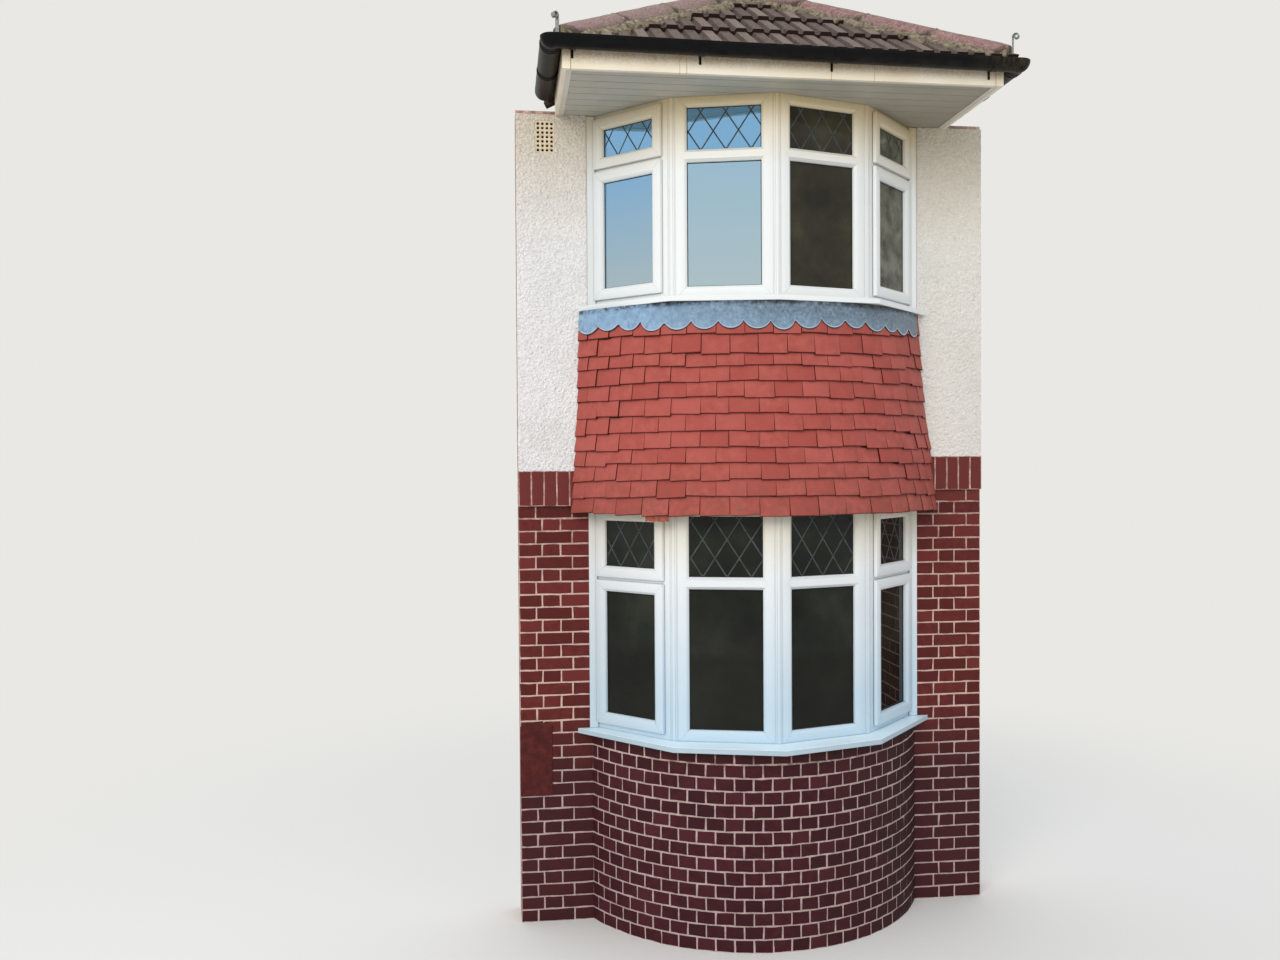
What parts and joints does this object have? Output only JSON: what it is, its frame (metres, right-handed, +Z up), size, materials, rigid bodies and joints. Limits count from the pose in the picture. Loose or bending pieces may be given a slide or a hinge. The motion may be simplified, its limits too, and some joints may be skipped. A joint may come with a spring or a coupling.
{
  "type": "two-storey bow bay window",
  "caption": "Two-storey bow bay window with curved brick plinth, tile-hung apron, scalloped lead skirt, boarded eaves and hipped roof, bonded into strips of front wall.",
  "frame": {"origin": "ground level, on the outer face of the front wall, at the middle of the bay", "axes": "+X to the right seen from the street, +Y into the house, +Z up"},
  "size_m": [2.8602, 1.1396, 5.6859],
  "materials": {
    "concrete": "floated concrete",
    "painted_brick": "brickwork painted dark maroon with pale painted joints",
    "roughcast": "white painted roughcast",
    "terracotta": "painted fired clay",
    "painted_render": "render painted red",
    "timber": "sawn softwood",
    "plaster": "matt plaster",
    "white_plastic": "satin white extruded plastic",
    "glass": "clear sealed glass",
    "hung_tile": "clay tile painted red",
    "painted_lead": "sheet lead painted blue",
    "soffit_board": "grey white boards",
    "cream_board": "cream boards with dirt",
    "black_plastic": "black extruded plastic",
    "roof_tile": "brown concrete tile",
    "hip_tile": "weathered clay with lime mortar",
    "galvanised_steel": "galvanised strip"
  },
  "bodies": {
    "root": {"ground_floor": "concrete", "plinth_wall": "painted_brick", "left_brick_wall": "painted_brick", "right_brick_wall": "painted_brick", "brick_bands": "painted_brick", "left_upper_wall": "painted_brick", "right_upper_wall": "painted_brick", "render_coats": "roughcast", "air_brick": "terracotta", "render_patch": "painted_render", "stud_wall": "timber", "floor_joists": "timber", "first_floor": "timber", "head_beam": "timber", "roof_frame": "timber", "stud_lining": "plaster", "ground_ceiling": "plaster", "bay_ceiling": "plaster", "ground_sill": "white_plastic", "upper_sill": "white_plastic", "window_boards": "white_plastic", "cover_strips": "white_plastic", "ground_left_frame": "white_plastic", "ground_front_left_frame": "white_plastic", "ground_front_right_frame": "white_plastic", "ground_right_frame": "white_plastic", "upper_left_frame": "white_plastic", "upper_front_left_frame": "white_plastic", "upper_front_right_frame": "white_plastic", "upper_right_frame": "white_plastic", "ground_poles": "white_plastic", "upper_poles": "white_plastic", "ground_sashes": "white_plastic", "upper_sashes": "white_plastic", "ground_glass": "glass", "upper_glass": "glass", "tile_apron": "hung_tile", "scalloped_skirt": "painted_lead", "soffit": "soffit_board", "fascias": "cream_board", "gutter": "black_plastic", "gutter_brackets": "black_plastic", "roof_front": "roof_tile", "roof_sides": "roof_tile", "hip_tiles": "hip_tile", "hip_irons": "galvanised_steel"}
  },
  "joints": []
}
